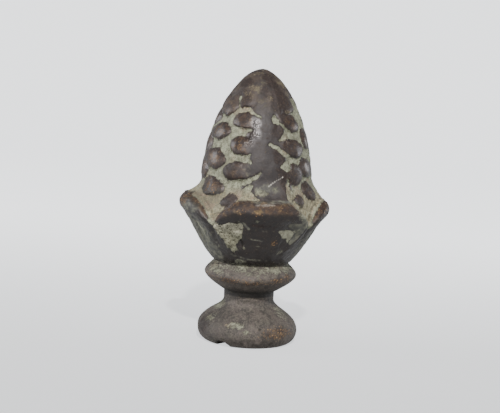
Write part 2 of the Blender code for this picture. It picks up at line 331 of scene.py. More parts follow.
# Scales. Those that the photograph shows are set one by one; the rest follow the lattice
Scale = namedtuple("Scale", "angle level left right up down rise bright")
SEEN_SCALES = (
    # Outer column on the left, from the top: angles in degrees, the rest in millimetres
    Scale(-61, 85.8, 32, 16, 5.5, 2.9, 0, 0.3),
    Scale(-63, 77.4, 30, 18.5, 3.8, 3.3, 0.8, 0.9),
    Scale(-63, 67.6, 30, 20.5, 4, 3.9, -1, 0.9),
    Scale(-61, 58, 22, 22, 3.4, 3.7, -1.6, 0.8),
    # Inner column on the left
    Scale(-34, 89.4, 15, 19, 8, 4, 0, 0.1),
    Scale(-29, 81.8, 21.5, 21, 3, 3.5, 0.4, 0.3),
    Scale(-29, 73, 16.5, 19, 3.7, 3.8, -0.6, 1),
    Scale(-31, 63.5, 19, 27, 3.9, 3.6, 0.3, 0.3),
    Scale(-34, 53.5, 10, 10, 2.7, 2.7, 1.4, 0.1),
    # Inner column on the right
    Scale(38, 88.6, 24, 25, 6, 3.9, -1.5, 0.2),
    Scale(37, 81.6, 26, 22, 3.6, 3.4, -0.4, 0.6),
    Scale(36, 72.9, 26, 22, 3.5, 3.7, -1, 0.3),
    Scale(34.5, 63.6, 20, 17, 4.1, 4.2, -1, 0.3),
    Scale(37.5, 54.4, 7.5, 7.5, 2.3, 2.3, -0.8, 0),
    # Outer column on the right
    Scale(64, 76.5, 10.5, 22, 3.8, 4.4, -0.6, 0.2),
    Scale(57, 66.3, 14.5, 22, 3.6, 4, -2, 0.2),
    Scale(57, 57.8, 13.5, 11, 3.5, 3.8, -1.6, 0.4),
)
SCALE_GROWTH = 1.02
SEEN_FROM_ANGLE = -84.0
SEEN_TO_ANGLE = 76.0

# The other scales: how uneven they are, and the row that deposit hides behind the two side leaves
UNEVEN_ANGLE = 1.8
UNEVEN_LEVEL = 0.4
UNEVEN_SIZE = 0.07
UNEVEN_RISE = 0.8
UNEVEN_BRIGHT = (0.35, 0.3)
HIDDEN_ROW_SHARE = 0.05
HIDDEN_ROW_HALF_ANGLE = 5.0

# Bare metal on a scale's crown, and how high above the groove its dirt reaches
CROWN_BRIGHT = 1.15
CROWN_BRIGHT_FALL = 1.3
GROOVE_HEIGHT_SHARE = 0.42

# The front is rubbed down between these angles, above the level of the foot of its lowest scale
WORN_FROM_ANGLE = -22.0
WORN_TO_ANGLE = 27.0
WORN_FOOT = 0.0575
WORN_SIDE_FADE = 0.0042
WORN_FOOT_FADE = 0.0030
WORN_FOOT_FALL = 0.0032
WORN_FOOT_FALL_ANGLE = 14.0
SMOOTH_TIP_SHARE = 0.80
SMOOTH_TIP_SOFT_SHARE = 0.07
POLISH_ANGLE = -2.0
POLISH_HALF_ANGLE = 24.0
POLISH_FADE_ANGLE = 10.0
TIP_POLISH = 0.45

# Ends of grooves that reach into the rubbed front: angle, level and width at each point, in mm
GROOVE_ENDS = (
    # From the left
    ((-32, 86, 1.6), (-25, 85.1, 1.3), (-17, 84, 0.9), (-8, 83, 0.2)),
    ((-38, 77.8, 2.2), (-27, 78.1, 1.7), (-18, 78.5, 0.5)),
    ((-30, 68.3, 2.2), (-20, 68.4, 2), (-15, 67.2, 0.7)),
    ((-21, 68.6, 1.2), (-16.5, 69.8, 0.5)),
    ((-34, 68.6, 2.4), (-28, 68.4, 2.4)),
    ((-31, 59.4, 2.4), (-19, 60.4, 1.5), (-9, 62.4, 1.1), (-4, 63.8, 0.4)),
    ((-20, 56.5, 3), (-14, 59, 1.2)),
    # From the right
    ((10.5, 83.1, 1.6), (12.5, 82.2, 2.1), (14.5, 81.5, 1.2)),
    ((18.5, 81.7, 0.5), (24, 79.8, 0.6), (31, 77.9, 2.6)),
    ((16.5, 75.6, 0.7), (23, 76.8, 2.1), (31, 77.5, 2.7), (43, 76.5, 1.7)),
    ((4, 74.1, 0.8), (12, 73, 1.3), (20.5, 70.7, 1.8), (28, 69, 2)),
    ((17, 66.2, 0.9), (23, 66.2, 2.9), (28, 68.7, 2.4)),
    ((25.5, 61.8, 0.6), (24, 59, 1.3), (25, 56, 3)),
)
GROOVE_END_DEPTH_SHARE = 0.35
GROOVE_END_SOFTNESS = 0.8
GROOVE_END_NARROWING = 0.3

# The grooves are filled up level on the two flanks
LEFT_FLANK_ANGLE = -97.0
RIGHT_FLANK_ANGLE = 80.0
FLANK_HALF_ANGLE = 26.0
FLANK_FILL = 0.8


def lattice_scales():
    """The scales that the photograph doesn't show, a little uneven."""
    jitter = random.Random(7)
    step = 360.0 / SCALE_COLUMNS
    for column in range(SCALE_COLUMNS):
        shares = EVEN_ROW_SHARES if column % 2 == 0 else ODD_ROW_SHARES
        for share in shares:
            moves = [jitter.uniform(-1.0, 1.0) for _ in range(6)]
            angle = from_middle(column * step + moves[0] * UNEVEN_ANGLE, 360.0)
            if SEEN_FROM_ANGLE < angle < SEEN_TO_ANGLE:
                continue
            from_side = abs(abs(angle) - LEAF_SPAN)
            if share < HIDDEN_ROW_SHARE and from_side < HIDDEN_ROW_HALF_ANGLE:
                continue
            level = RIM_TOP + CONE_HEIGHT * share
            half_height = float(cone_radius(level)) * SCALE_HALF_HEIGHT_TO_RADIUS / MM
            half_height = half_height * (1.0 + UNEVEN_SIZE * moves[3])
            half_angle = SCALE_HALF_ANGLE * (1.0 + UNEVEN_SIZE * moves[1])
            middle = level / MM + moves[2] * UNEVEN_LEVEL
            rise = moves[4] * UNEVEN_RISE
            bright = UNEVEN_BRIGHT[0] + UNEVEN_BRIGHT[1] * moves[5]
            yield Scale(angle, middle, half_angle, half_angle, half_height, half_height, rise, bright)


def scale_reach(angle, height, scale):
    """0 in the middle of a scale and 1 on its edge, and how far down the scale a point lies."""
    turn = from_middle(angle - scale.angle, 360.0)
    across = turn / np.where(turn < 0.0, -scale.left, scale.right) / SCALE_GROWTH
    lift = height / MM - scale.level - scale.rise * turn / (scale.left + scale.right)
    along = lift / np.where(lift < 0.0, -scale.down, scale.up) / SCALE_GROWTH
    power = SCALE_CORNER_POWER
    return (across ** power + along ** power) ** (1.0 / power), np.where(lift < 0.0, along, 0.0)


def stroke_distance(angle, height, stroke):
    """Millimetres from the edge of a stroke, whose width changes from point to point."""
    nearest = np.full(np.broadcast_shapes(angle.shape, height.shape), 1e3)
    for (angle_1, level_1, width_1), (angle_2, level_2, width_2) in zip(stroke, stroke[1:]):
        middle_level = (level_1 + level_2) / 2.0 * MM
        if middle_level > RIM_TOP:
            middle_radius = float(cone_radius(middle_level))
        elif middle_level > CUP_FOOT:
            middle_radius = float(bowl_radius(middle_level))
        else:
            middle_radius = RING_RADIUS
        per_degree = math.radians(middle_radius / MM)
        x = from_middle(angle - angle_1, 360.0) * per_degree
        y = height / MM - level_1
        run = (angle_2 - angle_1) * per_degree
        rise = level_2 - level_1
        t = clamp((x * run + y * rise) / (run * run + rise * rise))
        distance = np.hypot(x - run * t, y - rise * t) - mix(width_1, width_2, t) / 2.0
        nearest = np.minimum(nearest, distance)
    return nearest


def cone_masks(angle, height):
    """How far each point is up a scale, how worn it is, and how bright its scale's crown is."""
    dome = np.zeros(np.broadcast_shapes(angle.shape, height.shape))
    bright = np.zeros_like(dome)
    for scale in SEEN_SCALES + tuple(lattice_scales()):
        reach, below = scale_reach(angle, height, scale)
        power = mix(SCALE_DOME_POWER, SCALE_FOOT_POWER, below)
        this = 1.0 - np.minimum(1.0, reach) ** power
        crown = clamp(CROWN_BRIGHT - CROWN_BRIGHT_FALL * reach)
        bright = np.where(this > dome, scale.bright * crown, bright)
        dome = np.maximum(dome, this)
    turn = from_middle(angle, 360.0)
    from_edge = np.radians(np.minimum(turn - WORN_FROM_ANGLE, WORN_TO_ANGLE - turn)) * cone_radius(height)
    worn = smooth(from_edge / WORN_SIDE_FADE + 0.5)
    foot = WORN_FOOT - WORN_FOOT_FALL * ease(turn, -WORN_FOOT_FALL_ANGLE, WORN_FOOT_FALL_ANGLE)
    worn = worn * smooth((height - foot) / WORN_FOOT_FADE + 0.5)
    share = (height - RIM_TOP) / CONE_HEIGHT
    tip = smooth((share - SMOOTH_TIP_SHARE) / SMOOTH_TIP_SOFT_SHARE + 0.5)
    high = 1.0 - (1.0 - dome) * (1.0 - worn) * (1.0 - tip)
    clear = np.full_like(dome, 1e3)
    for stroke in GROOVE_ENDS:
        clear = np.minimum(clear, stroke_distance(angle, height, stroke))
    open_groove = 1.0 - smooth(clear / GROOVE_END_SOFTNESS + GROOVE_END_NARROWING)
    groove = np.maximum(1.0 - smooth(high / GROOVE_HEIGHT_SHARE), open_groove)
    high = high * (1.0 - open_groove * mix(1.0, GROOVE_END_DEPTH_SHARE, worn))
    flank = np.minimum(np.abs(turn - LEFT_FLANK_ANGLE), np.abs(turn - RIGHT_FLANK_ANGLE))
    high = mix(high, 1.0, FLANK_FILL * (1.0 - smooth(flank / FLANK_HALF_ANGLE)))
    polish = worn * smooth((POLISH_HALF_ANGLE - np.abs(turn - POLISH_ANGLE)) / POLISH_FADE_ANGLE)
    return high, groove, np.maximum(polish, tip * TIP_POLISH), bright * dome * (1.0 - polish)


# The ring's dented front: angles in degrees and levels in millimetres
DENT_ANGLE = -12.0
DENT_HALF_ANGLE = 30.0
DENT_LEVEL = 27.4
DENT_HALF_HEIGHT = 2.8
DENT_DEPTH = 0.0007
DENT_EDGE_ANGLE = 3.0
DENT_EDGE_LEAN = 3.1
DENT_EDGE_SOFT_ANGLE = 3.0

# Thin line pressed in where a lip meets the slope behind it
LIP_LINE_SHARE = 0.90
LIP_LINE_HALF_SHARE = 0.035
LIP_LINE_DEPTH = 0.0005
LIP_LINE_EVENNESS = 0.9
LIP_LINE_NOTCH_LOSS = 0.6

# The slope behind the left lip is hollow and the one behind the right lip is full
SLOPE_HOLLOW = -0.00025
SLOPE_LEAN = 0.00085

# Deposit covers the slopes up to this level and fades out over this height
SLOPE_DEPOSIT_TOP = (0.0550, 0.0040)

# On the front leaf's right side the hollow is filled up, and the side leaf hardly stands out
RIGHT_SIDE = (2.0, 88.0)
RIGHT_HOLLOW_FILL = 0.7
RIGHT_OVERLAP_LOSS = 0.75

# How far marks stray from their places, by noise with a lump size and a seed for each direction
STRAY_GRAINS = ((3.0 * MM, 3.0), (3.0 * MM, 8.0), (7.0 * MM, 12.0))
STRAY_ANGLE = 1.8
STRAY_RISE = 0.5 * MM
EDGE_STRAY_ANGLE = 1.5
EDGE_SWAY_ANGLE = 3.0

# Where bare metal, deposit, painted light and painted shade start, and how far they take to reach their
# full strength.
# Angles are in degrees, levels and the bare top in millimetres, heights in metres above the middle
# of the lip's roll, and shares run from the cone to the lip
LIP_WEAR_HEIGHTS = (-1.0 * MM, 2.0 * MM)
LIP_WEAR_SHARES = (0.90, 0.06)
LIP_WORN_OFF_ANGLES = (25.0, 7.0, 48.0, 3.0)
NARROW_LIP_ANGLES = (12.0, 8.0)
NARROW_LIP_HEIGHTS = (1.2 * MM, 1.5 * MM)
NOTCH_FILL_ANGLES = (40.0, 3.0)
NOTCH_FILL_HEIGHTS = (-0.5 * MM, 2.0 * MM)
COVER_SHARES = (0.75, 0.15)
COVER_ANGLES = (8.0, 8.0)
COVER_FADE = 0.6 * MM
BARE_TOP = 3.1
BARE_TOP_DIP = 0.5
BARE_TOP_DIP_ANGLES = (8.0, 16.0)
SEAM_ANGLE = -2.5
SEAM_HALF_ANGLE = 2.2
SEAM_LEVELS = (34.0, 3.0)
PHOTO_SIDE = (-92.0, 92.0)
LEFT_HOLLOW_SIDE = (-50.0, -10.0)
LEFT_HOLLOW_LEVELS = (39.0, 2.0)
# Painted light on the deposit high in the hollows, where the lips' shadow falls, and on the pale strokes:
# levels in millimetres and a share
UNDER_LIP_LEVELS = (40.0, 4.0)
PALE_UNDER_LIP = 0.35
# Painted shadow of the ring across the neck, and painted shade on the left of the foot: strengths, levels
# in millimetres and the patch in degrees and millimetres
NECK_SHADE = 0.85
NECK_SHADE_LEVELS = (17.2, 0.3, 21.5, 2.5)
FOOT_SHADE = 0.3
FOOT_SHADE_PATCH = (-62.0, 6.0, 44.0, 9.0)
TIP_LEVELS = (82.0, 8.0)

# Patches of dirt and wear, and of painted shade and painted sheen, by kind, from the tip down: angle and
# level of the middle, half angle, half height and strength, in degrees and millimetres
PATCHES = {
    "dust": (
        (9, 58.6, 5, 0.8, 0.7), (-4, 57, 7, 1.2, 0.9), (35, 50.6, 9, 2.6, 1.3),
        (-6, 47.5, 1.6, 0.6, 0.9), (-17, 37, 2, 0.6, 0.9), (-45, 36.4, 1.4, 1, 0.7),
        (24, 35.8, 3, 0.7, 0.8), (-24, 31.5, 9, 1.2, 0.7), (-22, 29.3, 13, 1.2, 0.8),
        (15, 29, 10, 1.3, 0.8), (29, 28.8, 12, 1.6, 1), (48, 28.4, 14, 1.4, 0.9),
        (-67, 27.8, 14, 1.5, 1), (-12, 27.6, 14, 1.3, 0.6), (-55, 26.8, 11, 1, 1),
        (-86, 13.2, 20, 2, 1), (59, 11.8, 18, 2.4, 0.6), (-67, 9, 12, 1.6, 0.6),
        (-25, 8.2, 14, 1.2, 0.9), (-10, 6.4, 5, 0.6, 1),
    ),
    "rust": (
        (-53, 57.6, 5, 2, 1), (-80, 52, 9, 2.6, 1), (68, 51.4, 16, 2.4, 0.6),
        (-6, 50.6, 4, 1.3, 1), (-19, 50.6, 4.5, 1.3, 0.7), (12, 39.4, 4.5, 1.3, 0.9),
        (44, 25.8, 6, 1.5, 1), (32, 25.3, 16, 1.1, 0.9), (-36, 24.3, 14, 1.2, 1),
        (-8, 23.8, 14, 1, 0.9), (30, 5.8, 26, 2.6, 0.9),
    ),
    # Darker patches: mostly darker tone, but the one under the neck at -14 degrees and the one on the
    # foot's left at -74 degrees are painted shade
    "dark": (
        (-41, 63.6, 10, 3.4, 1), (-60, 54, 24, 4.6, 0.95), (-14, 15.4, 40, 1.4, 0.4),
        (5, 7.6, 2.6, 0.7, 0.6), (-74, 7, 16, 4, 0.55), (-44, 4.8, 14, 2.2, 0.3),
        (0, 2.4, 60, 2.4, 0.45),
    ),
    # Grey-green patches of thin deposit; those on the faces of the side leaves at -74, 64 and -58 degrees
    # and on the scale at -21 degrees are also a painted sheen
    "film_and_sheen": (
        (-21, 64.6, 8, 3, 0.35), (2, 58.6, 7, 1.8, 0.7), (10, 58.2, 8, 1.4, 0.5),
        (-4, 57.5, 8, 2, 0.7), (-70, 49.6, 14, 2.4, 0.7), (38, 49.5, 10, 3.6, 1),
        (-74, 39, 26, 9, 0.9), (64, 38, 22, 9, 0.7), (-58, 34, 14, 4, 0.8),
    ),
    "brown": (
        (10, 97.2, 22, 1.6, 0.9), (-52, 95, 24, 2, 0.9), (18, 95, 17, 2.2, 0.9),
        (-2, 92, 11, 3, 0.8), (-52, 91.4, 16, 1.6, 0.9), (26, 89, 22, 5.2, 1),
        (-33, 88.5, 9, 3, 0.9), (19, 79.8, 11, 2.8, 1), (14.7, 79, 9, 3.6, 1),
        (6, 76, 7, 4, 0.5), (34, 72.6, 12, 3, 0.7), (12, 70, 7, 3.4, 1),
        (17, 65, 7, 2.2, 0.8), (-41, 63.6, 11, 3.6, 1), (34.5, 63.4, 14, 3.6, 0.8),
        (21, 61.5, 5, 4.2, 0.9), (26, 59.6, 1.6, 0.9, 1), (-60, 58, 14, 3, 0.6),
        (57, 57.8, 12, 3.4, 0.8), (21, 57.5, 1.6, 1, 1), (-36, 53.6, 8, 2, 0.8),
        (68, 51, 20, 3.4, 0.8), (-72, 6.6, 16, 4.4, 0.6),
    ),
    "olive": (
        (-30, 98.6, 26, 0.8, 0.8), (54, 95.5, 22, 2.2, 0.9), (-25, 93.4, 20, 1.4, 0.9),
        (50, 91.6, 9, 1.2, 1), (-36, 91.2, 10, 1.1, 0.8), (7, 90, 7, 1.5, 0.8),
        (38, 85.4, 10, 0.8, 1), (51, 82.4, 7, 2, 0.9), (-20, 50.8, 5, 1.4, 0.6),
        (-6, 50.8, 4, 1.3, 1), (-30, 49.6, 4, 1.3, 0.4),
    ),
    "gloss": (
        (-14, 80.6, 7, 2.4, 1), (-15, 77.6, 8, 3, 1), (-19, 74.8, 7, 2.6, 1),
    ),
}

# Strokes of dirt and wear, and of painted light, shade and highlights: kind, strength, softness, and
# angle, level and width at each point
STROKES = (
    # Left hollow of the front leaf
    ("fill", 1, 0.9, ((-36, 44, 2.6), (-27, 43.4, 6.4), (-29.5, 40.4, 5.4), (-30.5, 37.6, 3))),
    ("fill", 1, 0.9, ((-30.5, 38, 3), (-29, 34.8, 0.6))),
    ("fill", 1, 0.7, ((-41, 44.5, 2.8), (-36, 41.5, 3.2), (-32.5, 38.5, 2.4))),
    ("film_and_sheen", 1, 0.6, ((-20.5, 47, 0.4), (-16.5, 46.2, 0.9), (-12.5, 44.6, 1))),
    # Right hollow of the front leaf: its pale strokes are pale deposit and painted light where the
    # hollow's lower part catches it
    ("pale", 1, 0.4, ((15, 43.6, 1.4), (21, 42.8, 3.4), (26.5, 42.6, 3), (27.5, 39.8, 0.8))),
    ("pale", 0.5, 1, ((30, 43.8, 1.6), (38, 45.6, 2.8))),
    ("film_and_sheen", 1, 1.2, ((22, 46.2, 1.6), (31, 45.4, 3), (36, 44, 3.4), (32, 39.8, 2.2))),
    ("film_and_sheen", 1, 1, ((-12, 53.9, 0.5), (0, 54.2, 0.9), (20, 54.2, 1.4), (32, 53.6, 1.6))),
    # Left leaf
    ("pale", 0.75, 1.6, ((-80, 46.2, 0.5), (-70, 44.4, 1), (-62, 41.6, 2), (-62, 39, 1.2))),
    # Turning marks and flecks on the cup
    ("film_and_sheen", 0.7, 0.5, ((-11, 40.6, 0.5), (0.5, 40.1, 0.8))),
    ("fill", 0.8, 0.3, ((-18, 36.9, 0.6), (-15.8, 36.2, 0.2))),
    ("film_and_sheen", 0.8, 0.5, ((23.4, 37, 0.6), (20.5, 34.8, 0.5))),
    ("film_and_sheen", 0.4, 0.8, ((-16, 38.3, 0.3), (-2, 37.9, 0.5))),
    ("film_and_sheen", 0.4, 0.7, ((-9, 44.2, 0.4), (7, 43.6, 0.5))),
    ("film_and_sheen", 0.35, 0.8, ((2, 34.7, 0.3), (13, 34.2, 0.6))),
    ("film_and_sheen", 0.6, 1.2, ((-36, 34.4, 0.8), (-14, 32.6, 1), (12, 32.2, 0.6))),
    ("brown", 0.7, 1.4, ((-10, 46, 1.6), (8, 45.4, 1.2))),
    # Front: a fine score mark, and a painted highlight along the lip's top edge
    ("scratch_and_highlight", 1, 0.35, ((2.5, 59.5, 0.1), (9.5, 61, 0), (17.5, 62.7, 0.1))),
    ("scratch_and_highlight", 0.26, 0.6, ((-7, 53.2, 0.2), (-1, 53.4, 0.5), (5, 53.4, 0.2))),
    # Ring: a painted highlight line along the nose, and a dust line
    ("scratch_and_highlight", 0.2, 0.5, ((-21, 25.7, 0.1), (-0.5, 25.6, 0.1))),
    ("dust", 0.9, 0.5, ((10.5, 29.5, 0.8), (2.6, 27.4, 0.6), (-1, 25.8, 0.4))),
    # Foot: dust, and painted shade in the corner under the neck on the left
    ("dust", 1, 0.8, ((-31.8, 8.2, 1), (-21, 8.6, 1.4), (-14.6, 8.1, 0.6))),
    ("dust", 1, 1.2, ((-93, 12.1, 1.6), (-77, 13.9, 1.6))),
    ("dark", 1, 0.4, ((-96, 14.6, 0.5), (-80, 15.4, 0.5))),
)
MARK_KINDS = (*PATCHES, "fill", "pale", "scratch_and_highlight")

# Bands round the ring: kind, level, half height and strength
RING_BANDS = (("dust", 28.8, 1.9, 0.7), ("rust", 24.4, 1.3, 0.55))


def spot(angle, height, middle, level, half_angle, half_height):
    """1 in the middle of an oval patch on the surface and 0 outside it; levels in millimetres."""
    across = from_middle(angle - middle, 360.0) / half_angle
    along = (height / MM - level) / half_height
    return smooth(1.4 - np.hypot(across, along))


def zones(height):
    """Where the cup is, where the fillet behind its lips is, and all that lies above the lips."""
    above = height > RIM_TOP + 1e-9
    return (height > CUP_FOOT) & ~above, above & (height < CONE_FOOT), above


def side_leaf_mask(angle):
    """1 on the two side leaves, 0 on the front and back ones."""
    return smooth((np.abs(from_middle(angle, 2.0 * LEAF_SPAN)) - HALF_LEAF) / SIDE_SOFT_ANGLE + 0.5)


def strays(angle, radius, height):
    """Noise at each point: how far marks stray sideways and upwards, and how the rim sways."""
    turned = radius + angle * 0.0
    azimuth = np.radians(angle)
    axes = (turned * np.sin(azimuth), -turned * np.cos(azimuth), height + angle * 0.0)
    points = np.stack([values.ravel() for values in axes], 1)
    return [grain(points, size, 2, seed).reshape(turned.shape) for size, seed in STRAY_GRAINS]


def mark_masks(angle, level):
    """The masks of dirt, wear, painted light and painted shade that are placed one by one, by kind."""
    masks = {kind: np.zeros_like(level) for kind in MARK_KINDS}
    for kind, patches in PATCHES.items():
        for *place, strength in patches:
            masks[kind] = np.maximum(masks[kind], spot(angle, level, *place) * strength)
    for kind, strength, softness, points in STROKES:
        there = (1.0 - smooth(stroke_distance(angle, level, points) / softness + 0.5)) * strength
        masks[kind] = np.maximum(masks[kind], there)
    for kind, middle, half_height, strength in RING_BANDS:
        there = np.exp(-((level / MM - middle) / half_height) ** 2) * strength
        masks[kind] = np.maximum(masks[kind], there)
    return masks


def lip_masks(angle, height, rim_level, fillet_share, groove):
    """Bare metal on the lips, deposit in the grooves and over the rims, and that deposit's edge."""
    cup, fillet, above = zones(height)
    theta = np.abs(from_middle(angle))
    side_leaf = side_leaf_mask(angle)
    over = height - LIP_LEVEL
    behind = np.where(fillet, ease(fillet_share, *COVER_SHARES), 1.0)
    lip = cup * ease(over, *LIP_WEAR_HEIGHTS)
    lip = np.maximum(lip, fillet * ease(fillet_share, *LIP_WEAR_SHARES))
    notch = ease(theta, *NOTCH_FILL_ANGLES) * ease(over, *NOTCH_FILL_HEIGHTS) * behind
    lip = lip * (1.0 - notch)
    narrow = side_leaf * ease(theta, *NARROW_LIP_ANGLES)
    lip = lip * mix(1.0, ease(over, *NARROW_LIP_HEIGHTS), narrow)
    groove = above * groove * (1.0 - lip)
    lip = lip * (1.0 - band(angle, *LIP_WORN_OFF_ANGLES))
    bare_top = LIP_LEVEL + (BARE_TOP - BARE_TOP_DIP * ease(theta, *BARE_TOP_DIP_ANGLES)) * MM
    covered = np.where(above, 1.0, ease(rim_level, bare_top, COVER_FADE)) * side_leaf * behind
    covered = covered * ease(theta, *COVER_ANGLES) * (cup | fillet)
    groove = np.maximum(np.maximum(groove, covered), notch * (cup | fillet))
    return lip * (1.0 - covered), groove, 4.0 * covered * (1.0 - covered)


def carve(angle, radius, height):
    """Radius and height of each point of the casting, and the masks that its finish follows."""
    stray, stray_up, sway = strays(angle, radius, height)
    cup, fillet, above = zones(height)
    theta = from_middle(angle)
    lobe = (np.abs(theta) / HALF_LEAF) ** LOBE_POWER
    drop = rim_drop(theta) + RIM_SWAY * np.maximum(0.0, sway + RIM_SWAY_SHIFT)
    cup_share = part(height, CUP_FOOT, RIM_TOP)
    fillet_share = part(height, CONE_FOOT, RIM_TOP)
    cup_drop = drop * cup_share ** LEVEL_SHIFT_POWER
    level = height - np.where(cup, cup_drop, np.where(fillet, drop * fillet_share, 0.0))
    over_lip = part(height, LIP_LEVEL, RIM_TOP) ** 2
    outside = mix(bowl_radius(level), valley_radius(level), over_lip)
    between = np.where(cup, outside, valley_radius(level))
    carved = np.where(cup | fillet, mix(radius, between, lobe), radius)

    # Leaves
    stray_level = level + stray_up * STRAY_RISE
    hollow = cup * hollow_mask(np.abs(theta) + stray * HOLLOW_STRAY_ANGLE, stray_level)
    side_leaf = side_leaf_mask(angle)
    on_right = between_angles(angle, *RIGHT_SIDE)
    past_edge = leaf_edge(angle, level) + sway * EDGE_SWAY_ANGLE + stray * EDGE_STRAY_ANGLE
    overlap = cup * leaf_overlap(past_edge, level) * (1.0 - RIGHT_OVERLAP_LOSS * on_right)
    carved = carved + overlap - HOLLOW_DEPTH * hollow * mix(1.0, SIDE_HOLLOW_DEPTH_SHARE, side_leaf)
    carved = carved + HOLLOW_DEPTH * hollow * on_right * (1.0 - side_leaf) * RIGHT_HOLLOW_FILL

    # Cone
    stray_angle = angle + stray * STRAY_ANGLE
    high, groove, worn, bright = cone_masks(stray_angle, stray_level)
    sunk = smooth(part(level, RIM_TOP, CONE_FOOT))
    on_cone = smooth(part(level, NOTCH_LEVEL, RIM_TOP))
    carved = carved + above * SCALE_RELIEF * (high * on_cone - sunk)
    carved = carved + above * SCALE_CREST * high * on_cone * (1.0 - worn)

    # Dent in the ring, and the slopes behind the lips
    dent = spot(angle, level, DENT_ANGLE, DENT_LEVEL, DENT_HALF_ANGLE, DENT_HALF_HEIGHT)
    dent_edge = DENT_EDGE_ANGLE + (level / MM - DENT_LEVEL) * DENT_EDGE_LEAN
    dent = dent * smooth((dent_edge - angle) / DENT_EDGE_SOFT_ANGLE + 0.5)
    carved = carved - DENT_DEPTH * (height < CUP_FOOT) * dent
    slope_push = (SLOPE_HOLLOW + SLOPE_LEAN * np.sin(np.radians(angle))) * (1.0 - lobe)
    carved = carved + fillet * slope_push * np.sin(np.pi * fillet_share)
    line = 1.0 - smooth(np.abs(fillet_share - LIP_LINE_SHARE) / LIP_LINE_HALF_SHARE)
    line = fillet * line * clamp(stray_up + LIP_LINE_EVENNESS) * (1.0 - LIP_LINE_NOTCH_LOSS * lobe)
    carved = carved - LIP_LINE_DEPTH * line

    # Masks
    groove = np.maximum(groove, 1.0 - on_cone)
    lip, groove, cover_edge = lip_masks(angle, height, level + drop, fillet_share, groove)
    marks = mark_masks(stray_angle, level)
    marks["rust"] = np.maximum(marks["rust"], cover_edge)
    level_mm = level / MM
    seam = np.exp(-((past_edge - SEAM_ANGLE) / SEAM_HALF_ANGLE) ** 2) * ease(level_mm, *SEAM_LEVELS)
    unseen = 1.0 - between_angles(angle, *PHOTO_SIDE)
    on_left = between_angles(angle, *LEFT_HOLLOW_SIDE) * ease(level_mm, *LEFT_HOLLOW_LEVELS)
    fill = np.maximum(hollow * np.maximum(unseen, on_left), marks.pop("fill"))
    # Painted light: the deposit high in the hollows is lighter, against the lips' shadow
    painted_light_under_lip = fill * ease(level_mm, *UNDER_LIP_LEVELS)
    # Painted shadow of the ring across the neck, with a crisp lower edge; the foot patch below adds
    # painted shade on the foot's left side
    neck = band(level_mm, *NECK_SHADE_LEVELS) * NECK_SHADE
    masks = {
        **marks,
        "groove": groove,
        "hollow": cup * fill,
        "painted_light_under_lip": cup * np.maximum(painted_light_under_lip, marks["pale"] * PALE_UNDER_LIP),
        "seam": cup * seam * (1.0 - lip) * (1.0 - on_right),
        "lip": lip,
        "line": line,
        "neck": np.maximum(neck, spot(angle, level, *FOOT_SHADE_PATCH) * FOOT_SHADE),
        "tip": ease(level_mm, *TIP_LEVELS),
        "worn": above * worn,
        "bright": above * bright,
        "slope": above * (1.0 - ease(level, *SLOPE_DEPOSIT_TOP)),
        "cup": cup * (1.0 - lip),
        "stem": (height <= CUP_FOOT) * 1.0,
    }
    return carved, level, masks


def chip(x, y, height):
    """Lifts what lies inside the chip to its broken roof, and says where that is."""
    azimuth = math.radians(CHIP_ANGLE)
    out = x * math.sin(azimuth) - y * math.cos(azimuth) - FOOT_RADIUS
    side = x * math.cos(azimuth) + y * math.sin(azimuth)
    inside = 1.0 - (out / CHIP_LENGTH) ** 2 - (side / CHIP_HALF_WIDTH) ** 2
    roof = CHIP_HEIGHT * np.sqrt(np.maximum(0.0, inside))
    broken = (height < roof) & (inside > 0.0)
    return np.where(broken, roof, height), broken.astype(float)


def grid_mesh(name, x, y, z, top, bottom):
    """A closed mesh from rows of points running round the axis, with a point at each end."""
    rows, columns = x.shape
    ring = np.stack([x, y, z], 2).reshape(-1, 3)
    points = np.concatenate([ring, [bottom, top]])
    index = np.arange(rows * columns).reshape(rows, columns)
    beside = np.roll(index, -1, axis=1)
    quads = np.stack([index[:-1], beside[:-1], beside[1:], index[1:]], 2).reshape(-1, 4)
    floor_fan = np.stack([beside[0], index[0], np.full(columns, rows * columns)], 1)
    tip_fan = np.stack([index[-1], beside[-1], np.full(columns, rows * columns + 1)], 1)
    mesh = bpy.data.meshes.new(name)
    mesh.from_pydata(points.tolist(), [], floor_fan.tolist() + quads.tolist() + tip_fan.tolist())
    mesh.shade_smooth()
    mesh.update()
    return mesh


def grain(points, size, octaves=3, seed=0.0):
    """Soft noise between about -1 and 1 at each point, with lumps of the given size."""
    shift = Vector((seed, seed * 1.7, seed * 2.3))
    return np.array([noise.fractal(Vector(p) / size + shift, 0.7, 2.0, octaves) for p in points])


# Unevenness, in millimetres: lumps everywhere and more of them where a mask says so
WAVE_PUSH = 0.16
LUMP_PUSH = 0.05
LUMP_PUSHES = {"lip": 0.14, "slope": 0.10, "cup": 0.06, "chip": 0.15}


